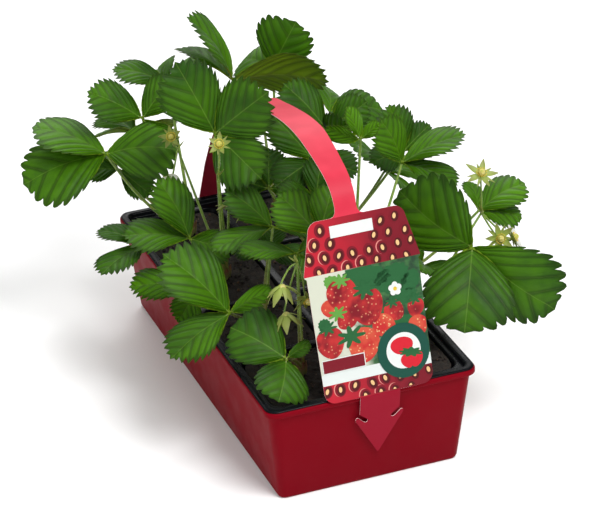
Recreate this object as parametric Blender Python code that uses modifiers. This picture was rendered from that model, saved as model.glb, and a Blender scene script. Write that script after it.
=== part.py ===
"""Strawberry plants in a carry pack, as Blender solids.

A red carrier tray holds a black insert of two by four cells. Each cell holds soil and
a strawberry crown with trifoliate leaves, and some crowns carry flower trusses. One
punched plastic strip is the label and the carrying handle.

Metres, +Z up. X runs across the tray, Y along it, from the label end (-Y) to the far
end (+Y). The origin is the centre of the tray's underside.
"""

import math

import bmesh
import bpy
from mathutils import Matrix, Vector

MM = 0.001
GAP = 0.3 * MM  # clearance kept between pieces that touch

# Carrier tray
TRAY_WIDTH = 180 * MM
TRAY_LENGTH = 376 * MM
TRAY_HEIGHT = 87 * MM
TRAY_DRAFT = 9 * MM  # how far the wall leans in from the rim to the floor
TRAY_RIM = 3 * MM  # how far the rim stands out from the wall
TRAY_RIM_DROP = 5 * MM
TRAY_WALL = 1.4 * MM
TRAY_CORNER = 10 * MM

# Black insert
CELL_COLUMNS = 2
CELL_ROWS = 4
CELL_PITCH_X = 83 * MM
CELL_PITCH_Y = 88 * MM
CELL_TOP_X = 77 * MM
CELL_TOP_Y = 83 * MM
CELL_FOOT = 58 * MM
CELL_CORNER = 10 * MM
SHEET = 0.9 * MM
CELL_FLOOR = 2.4 * MM  # heights are those of the sheet's middle
FLANGE_Z = TRAY_HEIGHT + GAP + SHEET / 2
WEB_Z = FLANGE_Z - 4 * MM
FLANGE_INSET = 1.5 * MM
FLANGE_WIDTH = 5 * MM
FLANGE_STEP = 1 * MM

# Soil and crowns
SOIL_TOP = 81 * MM
SOIL_RISE = 1.5 * MM  # rise of the soil towards the middle of a cell
SOIL_CLEARANCE = 0.8 * MM
CROWN_HEIGHT = 9 * MM
CROWN_RADIUS = 6 * MM
CROWN_SIDES = 7

# Leaves and flower trusses
PETIOLE_RADIUS = 1.3 * MM
PETIOLE_STEPS = 4
PETIOLE_RING = 3.6 * MM  # stems leave the crown on a circle of this radius
STEM_PITCH = 60.0  # degrees between stems around a crown
STEM_LIFT = 1.6 * MM  # how far above the crown they begin
HUB_RADIUS = 2.4 * MM  # the blades meet on a small pad of this radius
HUB_REACH = 1.2 * MM  # how far the petiole reaches through that pad
BLADE = 0.8 * MM
BLADE_ROWS = 4
BLADE_FOOT = 0.8 * MM  # half width of a blade where it meets the pad
BLADE_WIDTH = 0.8  # width over length of a leaflet
BLADE_FOLD = 14  # degrees that each half rises from the midrib
BLADE_ARCH = 0.07  # rise of the midrib over the leaflet's length
BLADE_BASE_POWER = 0.72  # below 1 the blade leaves the base in a rounded wedge
BLADE_TIP_POWER = 0.50
VEIN_POWER = 1.8

STEM_RADIUS = 0.9 * MM
CALYX_RADIUS = 6 * MM
CALYX_HEIGHT = 6 * MM
PEDICEL_RISE = 3 * MM

# Handle and label strip, in one piece. Widths are in mm across the strip.
STRIP = 0.8 * MM
LABEL_X = 4  # middle of the label and of the front arrow
STRIP_X = -3  # middle of the carrying strip and of the far arrow
LABEL_FOOT_HALF = 46
LABEL_HEADER_HALF = 49
LABEL_TOP_HALF = 41
LABEL_CORNER = 9
HEADER_HEIGHT = 54
STRIP_HALF = 9
STRIP_APEX_HALF = 12
NECK_HALF = 17
ARROW_HALF = 20.5
ARROW_LENGTH = 38
# The strip's route in (y, z), mm: up the near wall and over the rim, up the label,
# over the arch and down to the far wall.
NEAR_TAB = ((-182, 29), (-188.9, 80), (-189.6, 86.5))
ARCH = ((-144, 224), (-137, 239), (-125, 248.5), (-110, 254), (-90, 259.5), (-67, 263),
        (-40, 261.5), (-9, 256), (15, 250.5), (40, 244), (81, 224), (115, 198),
        (145, 165), (168, 130))


# Each leaf: cell, hub (mm), where the blades face (azimuth from -Y towards +X,
# elevation), bow of the petiole (mm, positive sags outwards before it rises) and its
# leaflets. Each leaflet: tip (mm) and how far it is rolled about its midrib (degrees).
LEAVES = {
    "leaf_01": (7, (-115, 125, 180), (-20, 40), 25,
                [(-185, 130, 165, 20), (-168, 150, 205, 45), (-62, 95, 188, -20)]),
    "leaf_02": (7, (-79, 130, 204), (-20, 45), 5,
                [(-120, 142, 232, 10), (-52, 122, 238, -10), (-62, 105, 180, 15)]),
    "leaf_03": (7, (-40, 175, 210), (-20, 50), 5,
                [(-82, 192, 226, 30), (-2, 178, 228, -40), (-35, 222, 205, -20)]),
    "leaf_04": (8, (0, 120, 229), (150, 45), 10,
                [(-31, 130, 288, -45), (-30, 166, 246, -30), (74, 92, 226, -15)]),
    "leaf_05": (8, (46, 145, 222), (-10, 40), 0,
                [(62, 130, 265, 0), (92, 145, 208, -40), (34, 185, 216, 0)]),
    "leaf_06": (6, (61, 60, 197), (-15, 35), 5,
                [(35, 85, 232, 20), (98, 60, 214, 20), (66, 25, 214, 60)]),
    "leaf_07": (5, (-50, 25, 230), (-20, 40), 10,
                [(-75, 40, 290, 0), (-15, -5, 272, 10), (-31, -26, 209, 10)]),
    "leaf_08": (4, (56, -30, 227), (-20, 40), 0,
                [(30, -22, 240, -60), (48, -22, 254, 40), (70, -38, 242, -30)]),
    "leaf_09": (4, (105, 0, 182), (-10, 65), 10,
                [(154, -15, 206, -20), (88, 2, 224, 0), (138, -36, 172, -20)]),
    "leaf_10": (2, (115, -120, 158), (-20, 35), 10,
                [(68, -85, 200, -40), (88, -165, 112, 0), (164, -165, 113, 35)]),
    "leaf_11": (4, (148, -60, 156), (-10, 60), 20,
                [(188, -60, 174, -20), (178, -78, 152, -20), (150, -38, 172, 40)]),
    "leaf_12": (5, (-78, 20, 141), (-20, 50), 10,
                [(-95, 42, 188, 30), (-130, 32, 150, 30), (-52, -8, 140, 40)]),
    "leaf_13": (3, (-23, -30, 163), (-20, 55), 0,
                [(-55, -12, 196, 20), (-76, -35, 156, 40), (8, -45, 162, -30)]),
    "leaf_14": (1, (-18, -72, 158), (-20, 60), 0,
                [(-64, -68, 168, 30), (16, -70, 172, -40), (-12, -114, 146, -30)]),
    "leaf_15": (3, (-77, -70, 116), (-20, 45), 5,
                [(-118, -38, 162, 20), (-132, -84, 96, 30), (-48, -88, 138, -40)]),
    "leaf_16": (7, (-112, 40, 132), (-40, 60), 0,
                [(-156, 18, 128, 20), (-142, 66, 142, 30), (-85, 60, 122, -20)]),
    "leaf_17": (5, (-82, 2, 101), (-30, 55), -10,
                [(-132, 15, 112, 30), (-106, -24, 92, -40), (-95, 42, 100, 30)]),
    "leaf_18": (1, (-59, -150, 112), (-20, 40), -5,
                [(-92, -120, 132, 10), (-82, -172, 98, -30), (-42, -158, 124, -50)]),
    "leaf_19": (6, (35, 25, 188), (-20, 45), 0,
                [(8, 45, 226, 0), (-3, 12, 178, 0), (66, 5, 180, 0)]),
    "leaf_20": (4, (24, -8, 168), (-30, 45), 0,
                [(-10, -10, 182, 0), (36, 6, 200, 0), (38, -32, 158, 0)]),
    "leaf_21": (2, (-6, -92, 182), (-20, 50), 0,
                [(12, -78, 216, 0), (-28, -64, 210, 0), (32, -100, 180, 30)]),
    "leaf_22": (6, (125, 45, 168), (-10, 50), 10,
                [(120, 60, 206, 0), (152, 50, 186, 0), (92, 34, 170, 0)]),
    "leaf_23": (8, (100, 150, 165), (60, 50), 15,
                [(150, 150, 160, 0), (115, 195, 170, 0), (115, 108, 165, 0)]),
    "leaf_24": (8, (60, 215, 150), (150, 50), 15,
                [(60, 262, 150, 0), (105, 228, 150, 0), (16, 232, 150, 0)]),
    "leaf_25": (7, (-60, 215, 150), (-150, 50), 15,
                [(-75, 262, 150, 0), (-108, 215, 150, 0), (-22, 232, 140, 0)]),
    "leaf_26": (6, (122, 78, 136), (80, 50), 15,
                [(168, 95, 116, 0), (88, 76, 172, 0), (138, 45, 118, 0)]),
    "leaf_27": (7, (-92, 166, 142), (-30, 50), 10,
                [(-72, 144, 124, 10), (-104, 200, 134, 0), (-128, 164, 150, 0)]),
    "leaf_28": (2, (90, -75, 125), (40, 50), 5,
                [(118, -86, 112, 0), (84, -45, 140, 0), (78, -106, 138, 0)]),
    "leaf_29": (3, (-15, 5, 120), (-20, 70), 0,
                [(-42, 15, 125, 0), (0, 28, 130, 0), (8, -18, 125, 0)]),
    "leaf_30": (6, (15, 80, 140), (-20, 50), 0,
                [(-15, 92, 150, 0), (25, 105, 165, 0), (35, 62, 145, 0)]),
}


# Each flower truss: cell, the point where its stem forks (mm), and its heads. Each
# head: position (mm) and the direction in which the calyx opens.
TRUSSES = {
    "flower_truss_1": (1, (-40, -130, 184),
                       [(-54, -132, 166, (-0.1, -0.2, -1.0)),
                        (-50, -128, 138, (0.1, -0.3, -1.0)),
                        (-33, -132, 150, (0.1, -0.7, -0.4))]),
    "flower_truss_2": (5, (-44, 12, 190),
                       [(-47, 0, 180, (-0.3, -0.2, -1.0)),
                        (-34, 2, 170, (0.0, -0.3, -1.0))]),
    "flower_truss_3": (5, (-62, -14, 212),
                       [(-64, -25, 245, (-0.3, -0.7, 0.6))]),
    "flower_truss_4": (2, (136, -92, 172),
                       [(134, -96, 210, (-0.1, -0.5, 0.8)),
                        (146, -106, 153, (0.0, -0.8, 0.2)),
                        (162, -98, 146, (0.8, -0.4, 0.5))]),
    "flower_truss_5": (5, (-62, 90, 190),
                       [(-70, 82, 206, (-0.2, -0.8, 0.4)),
                        (-78, 66, 170, (-0.4, -0.8, 0.2))]),
}


def start_scene():
    for item in list(bpy.data.objects):
        bpy.data.objects.remove(item, do_unlink=True)


def make_collection(name):
    made = bpy.data.collections.new(name)
    bpy.context.scene.collection.children.link(made)
    return made


def material(name, colour, roughness, metallic=0.0):
    made = bpy.data.materials.new(name)
    made.use_nodes = True
    shader = made.node_tree.nodes["Principled BSDF"]
    shader.inputs["Base Color"].default_value = (*colour, 1.0)
    shader.inputs["Roughness"].default_value = roughness
    shader.inputs["Metallic"].default_value = metallic
    made.diffuse_color = (*colour, 1.0)
    return made


def add_object(name, mesh, collection, surface=None):
    made = bpy.data.objects.new(name, mesh)
    collection.objects.link(made)
    if surface:
        mesh.materials.append(surface)
    return made


def mesh_object(name, bm, collection, surface=None):
    mesh = bpy.data.meshes.new(name)
    bmesh.ops.recalc_face_normals(bm, faces=bm.faces)
    bm.to_mesh(mesh)
    bm.free()
    return add_object(name, mesh, collection, surface)


def solidify(item, thickness, even=False):
    shell = item.modifiers.new("Thickness", "SOLIDIFY")
    shell.thickness = thickness
    shell.offset = 0.0
    shell.use_even_offset = even


def baked(item, name, collection, surface=None):
    """The item's evaluated mesh in world space, welded, as a new object."""
    bpy.context.view_layer.update()
    graph = bpy.context.evaluated_depsgraph_get()
    mesh = bpy.data.meshes.new_from_object(item.evaluated_get(graph))
    mesh.transform(item.matrix_world)
    mesh.materials.clear()
    bm = bmesh.new()
    bm.from_mesh(mesh)
    bmesh.ops.remove_doubles(bm, verts=bm.verts, dist=0.01 * MM)
    bmesh.ops.recalc_face_normals(bm, faces=bm.faces)
    bm.to_mesh(mesh)
    bm.free()
    bpy.data.objects.remove(item, do_unlink=True)
    return add_object(name, mesh, collection, surface)


def join(target, parts):
    """Join parts to target by Boolean unions that stay on it as modifiers."""
    for part in parts:
        part.hide_render = True
        part.display_type = "WIRE"
        union = target.modifiers.new(part.name, "BOOLEAN")
        union.operation = "UNION"
        union.solver = "EXACT"
        union.object = part


def tube(name, points, radius, collection, surface=None):
    """A round bar along the points, with closed ends."""
    curve = bpy.data.curves.new(name, "CURVE")
    curve.dimensions = "3D"
    curve.bevel_depth = radius
    curve.bevel_resolution = 0
    curve.use_fill_caps = True
    spline = curve.splines.new("POLY")
    spline.points.add(len(points) - 1)
    for knot, point in zip(spline.points, points):
        knot.co = (*point, 1.0)
    item = bpy.data.objects.new(name, curve)
    collection.objects.link(item)
    return baked(item, name, collection, surface)


# Carrier tray, insert, soil and crowns


def rounded_ring(bm, half_x, half_y, radius, z, centre=(0.0, 0.0), steps=4):
    """Vertices of a rounded rectangle at height z, anticlockwise seen from above."""
    ring = []
    for quarter, (sign_x, sign_y) in enumerate(((1, 1), (-1, 1), (-1, -1), (1, -1))):
        for step in range(steps + 1):
            angle = math.pi / 2 * (quarter + step / steps)
            x = centre[0] + sign_x * (half_x - radius) + radius * math.cos(angle)
            y = centre[1] + sign_y * (half_y - radius) + radius * math.sin(angle)
            ring.append(bm.verts.new((x, y, z)))
    return ring


def bridge(bm, lower, upper):
    count = len(lower)
    for i in range(count):
        j = (i + 1) % count
        bm.faces.new((lower[i], lower[j], upper[j], upper[i]))


def ring_edges(bm, ring):
    return [bm.edges.get((ring[i - 1], ring[i])) or bm.edges.new((ring[i - 1], ring[i]))
            for i in range(len(ring))]


def make_tray(collection, surface):
    """The box's mid-surface from the floor up the wall, over the rim and down its lip."""
    skin = TRAY_WALL / 2
    half_x = TRAY_WIDTH / 2 - skin
    half_y = TRAY_LENGTH / 2 - skin
    foot = TRAY_RIM + TRAY_DRAFT
    ease = 3 * MM
    levels = (
        (foot + ease, skin),
        (foot, skin + ease),
        (TRAY_RIM, TRAY_HEIGHT - skin),
        (0.0, TRAY_HEIGHT - skin),
        (0.0, TRAY_HEIGHT - TRAY_RIM_DROP),
    )
    bm = bmesh.new()
    rings = [rounded_ring(bm, half_x - inset, half_y - inset, TRAY_CORNER - inset / 2, z)
             for inset, z in levels]
    bm.faces.new(rings[0])
    for lower, upper in zip(rings, rings[1:]):
        bridge(bm, lower, upper)
    solidify(mesh_object("carrier_tray", bm, collection, surface), TRAY_WALL, True)


def cell_centre(cell):
    """Plan position of cells 1 to 8: odd ones on the left, from the label end on."""
    column = (cell - 1) % CELL_COLUMNS
    row = (cell - 1) // CELL_COLUMNS
    x = (column - (CELL_COLUMNS - 1) / 2) * CELL_PITCH_X
    y = (row - (CELL_ROWS - 1) / 2) * CELL_PITCH_Y
    return x, y


def cell_half(z, shrink=0.0):
    """Half sizes of a cell's mid-surface at height z, less shrink."""
    share = (z - CELL_FLOOR) / (WEB_Z - CELL_FLOOR)
    return tuple(CELL_FOOT / 2 + (top / 2 - CELL_FOOT / 2) * share - shrink
                 for top in (CELL_TOP_X, CELL_TOP_Y))


def make_insert(collection, surface):
    """The formed sheet: flange, step down to the webs, and eight tapered cells."""
    bm = bmesh.new()
    half_x = TRAY_WIDTH / 2 - FLANGE_INSET
    half_y = TRAY_LENGTH / 2 - FLANGE_INSET
    outer = rounded_ring(bm, half_x, half_y, TRAY_CORNER, FLANGE_Z)
    inner = rounded_ring(bm, half_x - FLANGE_WIDTH, half_y - FLANGE_WIDTH,
                         TRAY_CORNER - FLANGE_WIDTH, FLANGE_Z)
    step = rounded_ring(bm, half_x - FLANGE_WIDTH - FLANGE_STEP,
                        half_y - FLANGE_WIDTH - FLANGE_STEP,
                        TRAY_CORNER - FLANGE_WIDTH, WEB_Z)
    bridge(bm, inner, outer)
    bridge(bm, step, inner)
    web = ring_edges(bm, step)
    for cell in range(1, CELL_COLUMNS * CELL_ROWS + 1):
        centre = cell_centre(cell)
        top = rounded_ring(bm, *cell_half(WEB_Z), CELL_CORNER, WEB_Z, centre, 1)
        foot = rounded_ring(bm, *cell_half(CELL_FLOOR), CELL_CORNER, CELL_FLOOR, centre, 1)
        bridge(bm, foot, top)
        bm.faces.new(foot)
        web += ring_edges(bm, top)
    bmesh.ops.triangle_fill(bm, edges=web, use_beauty=True)
    solidify(mesh_object("cell_tray", bm, collection, surface), SHEET, True)


def make_soil(cell, collection, surface):
    centre = cell_centre(cell)
    shrink = SHEET / 2 + SOIL_CLEARANCE
    low = CELL_FLOOR + SHEET
    bm = bmesh.new()
    levels = ((low, 1.0), (SOIL_TOP, 1.0), (SOIL_TOP + SOIL_RISE, 0.35))
    rings = []
    for z, share in levels:
        half_x, half_y = cell_half(min(z, SOIL_TOP), shrink)
        rings.append(rounded_ring(bm, half_x * share, half_y * share,
                                  CELL_CORNER * share, z, centre, 1))
    bm.faces.new(rings[0])
    bm.faces.new(rings[-1])
    for lower, upper in zip(rings, rings[1:]):
        bridge(bm, lower, upper)
    mesh_object("soil_%d" % cell, bm, collection, surface)


def make_crown(cell, collection, surface):
    x, y = cell_centre(cell)
    bm = bmesh.new()
    middle = SOIL_TOP + SOIL_RISE + GAP + CROWN_HEIGHT / 2
    bmesh.ops.create_cone(bm, cap_ends=True, segments=CROWN_SIDES, radius1=CROWN_RADIUS,
                          radius2=CROWN_RADIUS * 0.7, depth=CROWN_HEIGHT,
                          matrix=Matrix.Translation((x, y, middle)))
    mesh_object("crown_%d" % cell, bm, collection, surface)


# Plants


def stem_ring(cell):
    """Heading of each stem on one crown's ring: kept in order, one pitch apart."""
    x, y = cell_centre(cell)
    wanted = []
    for name, entry in sorted(list(LEAVES.items()) + list(TRUSSES.items())):
        if entry[0] == cell:
            wanted.append((math.atan2(entry[1][1] * MM - y, entry[1][0] * MM - x), name))
    wanted.sort()
    pitch = math.radians(STEM_PITCH)
    shifts = [heading - pitch * count for count, (heading, name) in enumerate(wanted)]
    turn = math.atan2(sum(math.sin(v) for v in shifts), sum(math.cos(v) for v in shifts))
    return {name: turn + pitch * count for count, (heading, name) in enumerate(wanted)}


def stem_start(name, cell):
    """Where a named stem leaves its crown."""
    x, y = cell_centre(cell)
    heading = stem_ring(cell)[name]
    z = SOIL_TOP + SOIL_RISE + CROWN_HEIGHT + STEM_LIFT
    return Vector((x + PETIOLE_RING * math.cos(heading), y + PETIOLE_RING * math.sin(heading), z))


def stem_points(start, end, bow, steps):
    """A bent stem: positive bow sags outwards first, negative bow rises first."""
    middle = (start + end) / 2 - Vector((0.0, 0.0, bow))
    points = []
    for step in range(steps + 1):
        t = step / steps
        points.append(start * (1 - t) ** 2 + middle * (2 * t * (1 - t)) + end * t ** 2)
    return points


def facing_vector(azimuth, elevation):
    """Unit vector, with azimuth 0 towards -Y and growing towards +X."""
    a = math.radians(azimuth)
    e = math.radians(elevation)
    return Vector((math.sin(a) * math.cos(e), -math.cos(a) * math.cos(e), math.sin(e)))


def blade_half_width(share):
    """Half width of a leaflet over its length, at this share of the way to its tip."""
    power_sum = BLADE_BASE_POWER + BLADE_TIP_POWER
    peak = BLADE_BASE_POWER / power_sum
    highest = peak ** BLADE_BASE_POWER * (1 - peak) ** BLADE_TIP_POWER
    shape = share ** BLADE_BASE_POWER * (1 - share) ** BLADE_TIP_POWER
    return BLADE_WIDTH / 2 * shape / highest


def blade_rows(bm, hub, tip, facing, roll):
    """Vertex rows (left, rib, right) of one leaflet, from the hub out to its tip."""
    along = (tip - hub).normalized()
    base = hub + along * HUB_RADIUS
    length = (tip - base).length
    up = (facing - along * facing.dot(along)).normalized()
    up.rotate(Matrix.Rotation(math.radians(roll), 3, along))
    side = along.cross(up)
    fold = math.radians(BLADE_FOLD)

    def place(x, y):
        arch = BLADE_ARCH * length * math.sin(math.pi * x / length)
        lift = arch + abs(y) * math.sin(fold)
        return bm.verts.new(base + along * x + side * (y * math.cos(fold)) + up * lift)

    rows = [(place(0.0, -BLADE_FOOT), place(0.0, 0.0), place(0.0, BLADE_FOOT))]
    for row in range(1, BLADE_ROWS):
        share = (1 - math.cos(math.pi * row / BLADE_ROWS)) / 2
        width = blade_half_width(share) * length
        rows.append((place(length * share, -width), place(length * share ** VEIN_POWER, 0.0),
                     place(length * share, width)))
    for near, far in zip(rows, rows[1:]):
        for k in (0, 1):
            bm.faces.new((near[k], near[k + 1], far[k + 1], far[k]))
    point = place(length, 0.0)
    left, rib, right = rows[-1]
    bm.faces.new((left, rib, point))
    bm.faces.new((rib, right, point))
    return rows


def make_leaf(name, collection, cutters, surface):
    """Three leaflets as one sheet around the hub, joined to the petiole under it."""
    cell, hub, (azimuth, elevation), bow, leaflets = LEAVES[name]
    hub = Vector(hub) * MM
    facing = facing_vector(azimuth, elevation)
    bm = bmesh.new()
    feet = []
    for x, y, z, roll in leaflets:
        rows = blade_rows(bm, hub, Vector((x, y, z)) * MM, facing, roll)
        feet.append(rows[0])
    tangent = facing.orthogonal().normalized()
    binormal = facing.cross(tangent)

    def heading(vert):
        offset = vert.co - hub
        return math.atan2(offset.dot(binormal), offset.dot(tangent))

    bm.faces.new(sorted((vert for foot in feet for vert in foot), key=heading))
    blades = mesh_object(name + "_blades", bm, cutters)
    solidify(blades, BLADE)
    points = stem_points(stem_start(name, cell), hub, bow * MM, PETIOLE_STEPS)
    points[-1] = hub + (points[-1] - points[-2]).normalized() * HUB_REACH
    leaf = tube(name, points, PETIOLE_RADIUS, collection, surface)
    join(leaf, [blades])


def make_truss(name, collection, cutters, surface):
    cell, fork, heads = TRUSSES[name]
    fork = Vector(fork) * MM
    start = stem_start(name, cell)
    stem = tube(name, stem_points(start, fork, 0.0, 3), STEM_RADIUS * 1.3, collection, surface)
    parts = []
    for count, (x, y, z, direction) in enumerate(heads, start=1):
        head = Vector((x, y, z)) * MM
        opening = Vector(direction).normalized()
        back = head - opening * CALYX_HEIGHT * 0.6
        route = [fork + (fork - back).normalized() * STEM_RADIUS, (fork + back) / 2
                 + Vector((0.0, 0.0, PEDICEL_RISE)), back + opening * CALYX_HEIGHT * 0.5]
        parts.append(tube("%s_pedicel_%d" % (name, count), route, STEM_RADIUS, cutters))
        bm = bmesh.new()
        turn = opening.to_track_quat("Z", "Y").to_matrix().to_4x4()
        bmesh.ops.create_cone(bm, cap_ends=True, segments=6, radius1=CALYX_RADIUS * 0.35,
                              radius2=CALYX_RADIUS, depth=CALYX_HEIGHT,
                              matrix=Matrix.Translation(head) @ turn)
        parts.append(mesh_object("%s_calyx_%d" % (name, count), bm, cutters))
    join(stem, parts)


# Handle and label strip


def strip_route():
    """The route in (y, z), from the near arrow's tip to the far arrow's tip."""
    far_tab = tuple((-y, z) for y, z in reversed(NEAR_TAB))
    return NEAR_TAB + ARCH + far_tab


def route_lengths(route):
    """How far along the route each of its points lies."""
    lengths = [0.0]
    for (y0, z0), (y1, z1) in zip(route, route[1:]):
        lengths.append(lengths[-1] + math.hypot(y1 - y0, z1 - z0))
    return lengths


def arrow_side(sign, centre):
    """One side of an arrow tab from its tip: (across, along) up to the neck."""
    outline = ((0.8, 0), (ARROW_HALF, ARROW_LENGTH - 2), (ARROW_HALF - 2, ARROW_LENGTH),
               (ARROW_HALF - 8.5, ARROW_LENGTH - 6), (ARROW_HALF - 10, ARROW_LENGTH - 4),
               (NECK_HALF, ARROW_LENGTH + 2.5))
    return [(centre + sign * across, along) for across, along in outline]


def corner_arc(centre_x, centre_s, radius, first, last, steps=3):
    return [(centre_x + radius * math.cos(math.radians(first + (last - first) * i / steps)),
             centre_s + radius * math.sin(math.radians(first + (last - first) * i / steps)))
            for i in range(steps + 1)]


def strip_side(sign, foot, top, apex, total):
    """One side of the punched outline, from the near arrow's tip to the far one's."""
    side = arrow_side(sign, LABEL_X)
    side.append((LABEL_X + sign * NECK_HALF, foot))
    first = 270
    turn = sign
    r = LABEL_CORNER
    arc = corner_arc(LABEL_X + sign * (LABEL_FOOT_HALF - r), foot + r, r, first,
                     first + 90 * turn)
    side += arc
    header = top - HEADER_HEIGHT
    side.append((LABEL_X + sign * (LABEL_FOOT_HALF + 1), header - 2))
    side.append((LABEL_X + sign * LABEL_HEADER_HALF, header))
    side += corner_arc(LABEL_X + sign * (LABEL_TOP_HALF - r), top - r, r,
                       90 - 85 * turn, 90)
    side.append((STRIP_X + sign * (STRIP_HALF + 3), top))
    side.append((STRIP_X + sign * STRIP_HALF, top + 5))
    side.append((STRIP_X + sign * STRIP_APEX_HALF, apex))
    side.append((STRIP_X + sign * STRIP_HALF, total - ARROW_LENGTH - 24))
    side.append((STRIP_X + sign * NECK_HALF, total - ARROW_LENGTH - 10))
    side += [(x, total - s) for x, s in reversed(arrow_side(sign, STRIP_X))]
    return side


def make_strip(collection, surface):
    """The flat punched outline, cut across at each bend and laid along the route."""
    route = strip_route()
    lengths = route_lengths(route)
    foot = lengths[len(NEAR_TAB) - 1]
    top = lengths[len(NEAR_TAB)]
    apex = lengths[len(NEAR_TAB) + 5]
    total = lengths[-1]
    outline = strip_side(1, foot, top, apex, total)
    outline += reversed(strip_side(-1, foot, top, apex, total))
    bm = bmesh.new()
    bm.faces.new([bm.verts.new((x, s, 0.0)) for x, s in outline])
    bmesh.ops.triangulate(bm, faces=bm.faces)
    for s in lengths[1:-1]:
        geometry = bm.verts[:] + bm.edges[:] + bm.faces[:]
        bmesh.ops.bisect_plane(bm, geom=geometry, dist=0.001, plane_co=(0, s, 0),
                               plane_no=(0, 1, 0))
    bmesh.ops.dissolve_limit(bm, angle_limit=0.0001, verts=[], edges=[
        edge for edge in bm.edges if edge.is_manifold and not spans_bend(edge, lengths)])
    for vert in bm.verts:
        vert.co = Vector((vert.co.x, *on_route(vert.co.y, route, lengths))) * MM
    solidify(mesh_object("carry_handle", bm, collection, surface), STRIP)


def spans_bend(edge, lengths):
    """Whether the edge lies across the strip at one of the route's bends."""
    first, second = (vert.co.y for vert in edge.verts)
    return abs(first - second) < 0.01 and any(abs(first - s) < 0.01 for s in lengths)


def on_route(s, route, lengths):
    for i in range(len(lengths) - 1):
        if s <= lengths[i + 1] or i == len(lengths) - 2:
            share = (s - lengths[i]) / (lengths[i + 1] - lengths[i])
            (y0, z0), (y1, z1) = route[i], route[i + 1]
            return y0 + (y1 - y0) * share, z0 + (z1 - z0) * share
    return route[-1]


def main():
    start_scene()
    parts = make_collection("strawberry_plants")
    cutters = make_collection("cutters")
    red = material("red plastic", (0.36, 0.004, 0.012), 0.3)
    black = material("black plastic", (0.008, 0.009, 0.011), 0.2)
    earth = material("soil", (0.02, 0.013, 0.009), 0.95)
    crown = material("crown", (0.12, 0.1, 0.035), 0.8)
    leaf = material("leaf", (0.045, 0.16, 0.02), 0.5)
    stem = material("flower stem", (0.32, 0.4, 0.08), 0.5)
    card = material("printed strip", (0.6, 0.02, 0.05), 0.4)
    make_tray(parts, red)
    make_insert(parts, black)
    for cell in range(1, CELL_COLUMNS * CELL_ROWS + 1):
        make_soil(cell, parts, earth)
        make_crown(cell, parts, crown)
    for name in LEAVES:
        make_leaf(name, parts, cutters, leaf)
    for name in TRUSSES:
        make_truss(name, parts, cutters, stem)
    make_strip(parts, card)


main()
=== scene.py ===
"""Looks of eight strawberry plants in their carrier tray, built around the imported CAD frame.

Everything is in metres in the frame's own axes: +Z up, +Y from the label end to the far end.
"""

import random
from collections import namedtuple
from math import atan2, cos, hypot, pi, radians, sin, sqrt

import bmesh
import bpy
from mathutils import Matrix, Vector, noise
from mathutils.geometry import tessellate_polygon


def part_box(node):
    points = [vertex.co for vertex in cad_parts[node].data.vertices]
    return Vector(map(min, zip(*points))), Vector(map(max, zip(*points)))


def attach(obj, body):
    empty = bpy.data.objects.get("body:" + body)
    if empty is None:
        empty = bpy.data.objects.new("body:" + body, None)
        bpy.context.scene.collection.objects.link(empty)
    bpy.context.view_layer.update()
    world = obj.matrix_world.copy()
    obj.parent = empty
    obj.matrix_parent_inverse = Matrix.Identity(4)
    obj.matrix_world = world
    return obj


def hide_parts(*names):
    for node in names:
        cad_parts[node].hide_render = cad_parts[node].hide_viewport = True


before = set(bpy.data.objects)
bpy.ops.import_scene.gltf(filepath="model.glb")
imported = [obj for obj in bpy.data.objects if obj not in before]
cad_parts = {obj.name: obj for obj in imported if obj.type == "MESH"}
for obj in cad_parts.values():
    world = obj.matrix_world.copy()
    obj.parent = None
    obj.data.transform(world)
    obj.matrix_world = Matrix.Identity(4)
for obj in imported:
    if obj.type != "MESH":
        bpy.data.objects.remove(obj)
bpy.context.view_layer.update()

MM = 0.001

# Plants. Where the leaves and trusses stand repeats the CAD source, in mm and degrees.

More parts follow.
